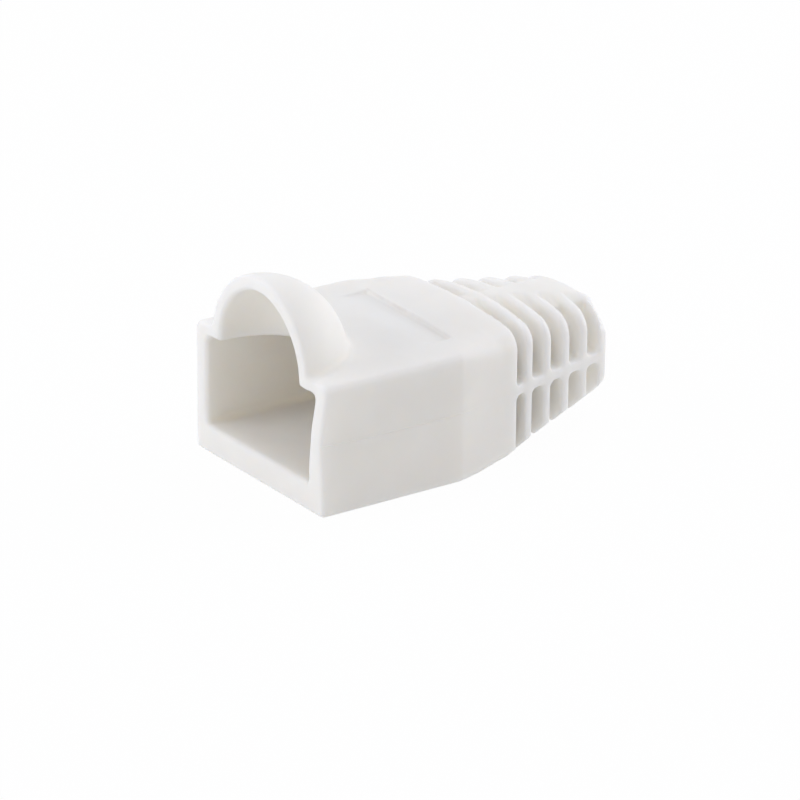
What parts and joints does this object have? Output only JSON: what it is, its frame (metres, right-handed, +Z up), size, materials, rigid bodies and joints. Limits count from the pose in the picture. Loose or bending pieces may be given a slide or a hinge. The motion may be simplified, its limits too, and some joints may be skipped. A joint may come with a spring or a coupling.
{
  "type": "modular plug strain relief boot",
  "caption": "Slip-on moulded boot for a modular cable plug: rectangular socket, domed hood over the latch and a tapered, slotted tail round the cable.",
  "frame": {"origin": "middle of the underside, under the centre of the overall box", "axes": "+Y along the cable from the plug mouth to the cable end, +Z up towards the latch hood, +X across the width"},
  "size_m": [0.0144, 0.0244, 0.0138],
  "materials": {
    "soft_pvc": "off-white, matte, slightly translucent"
  },
  "bodies": {
    "root": {"boot": "soft_pvc"}
  },
  "joints": []
}
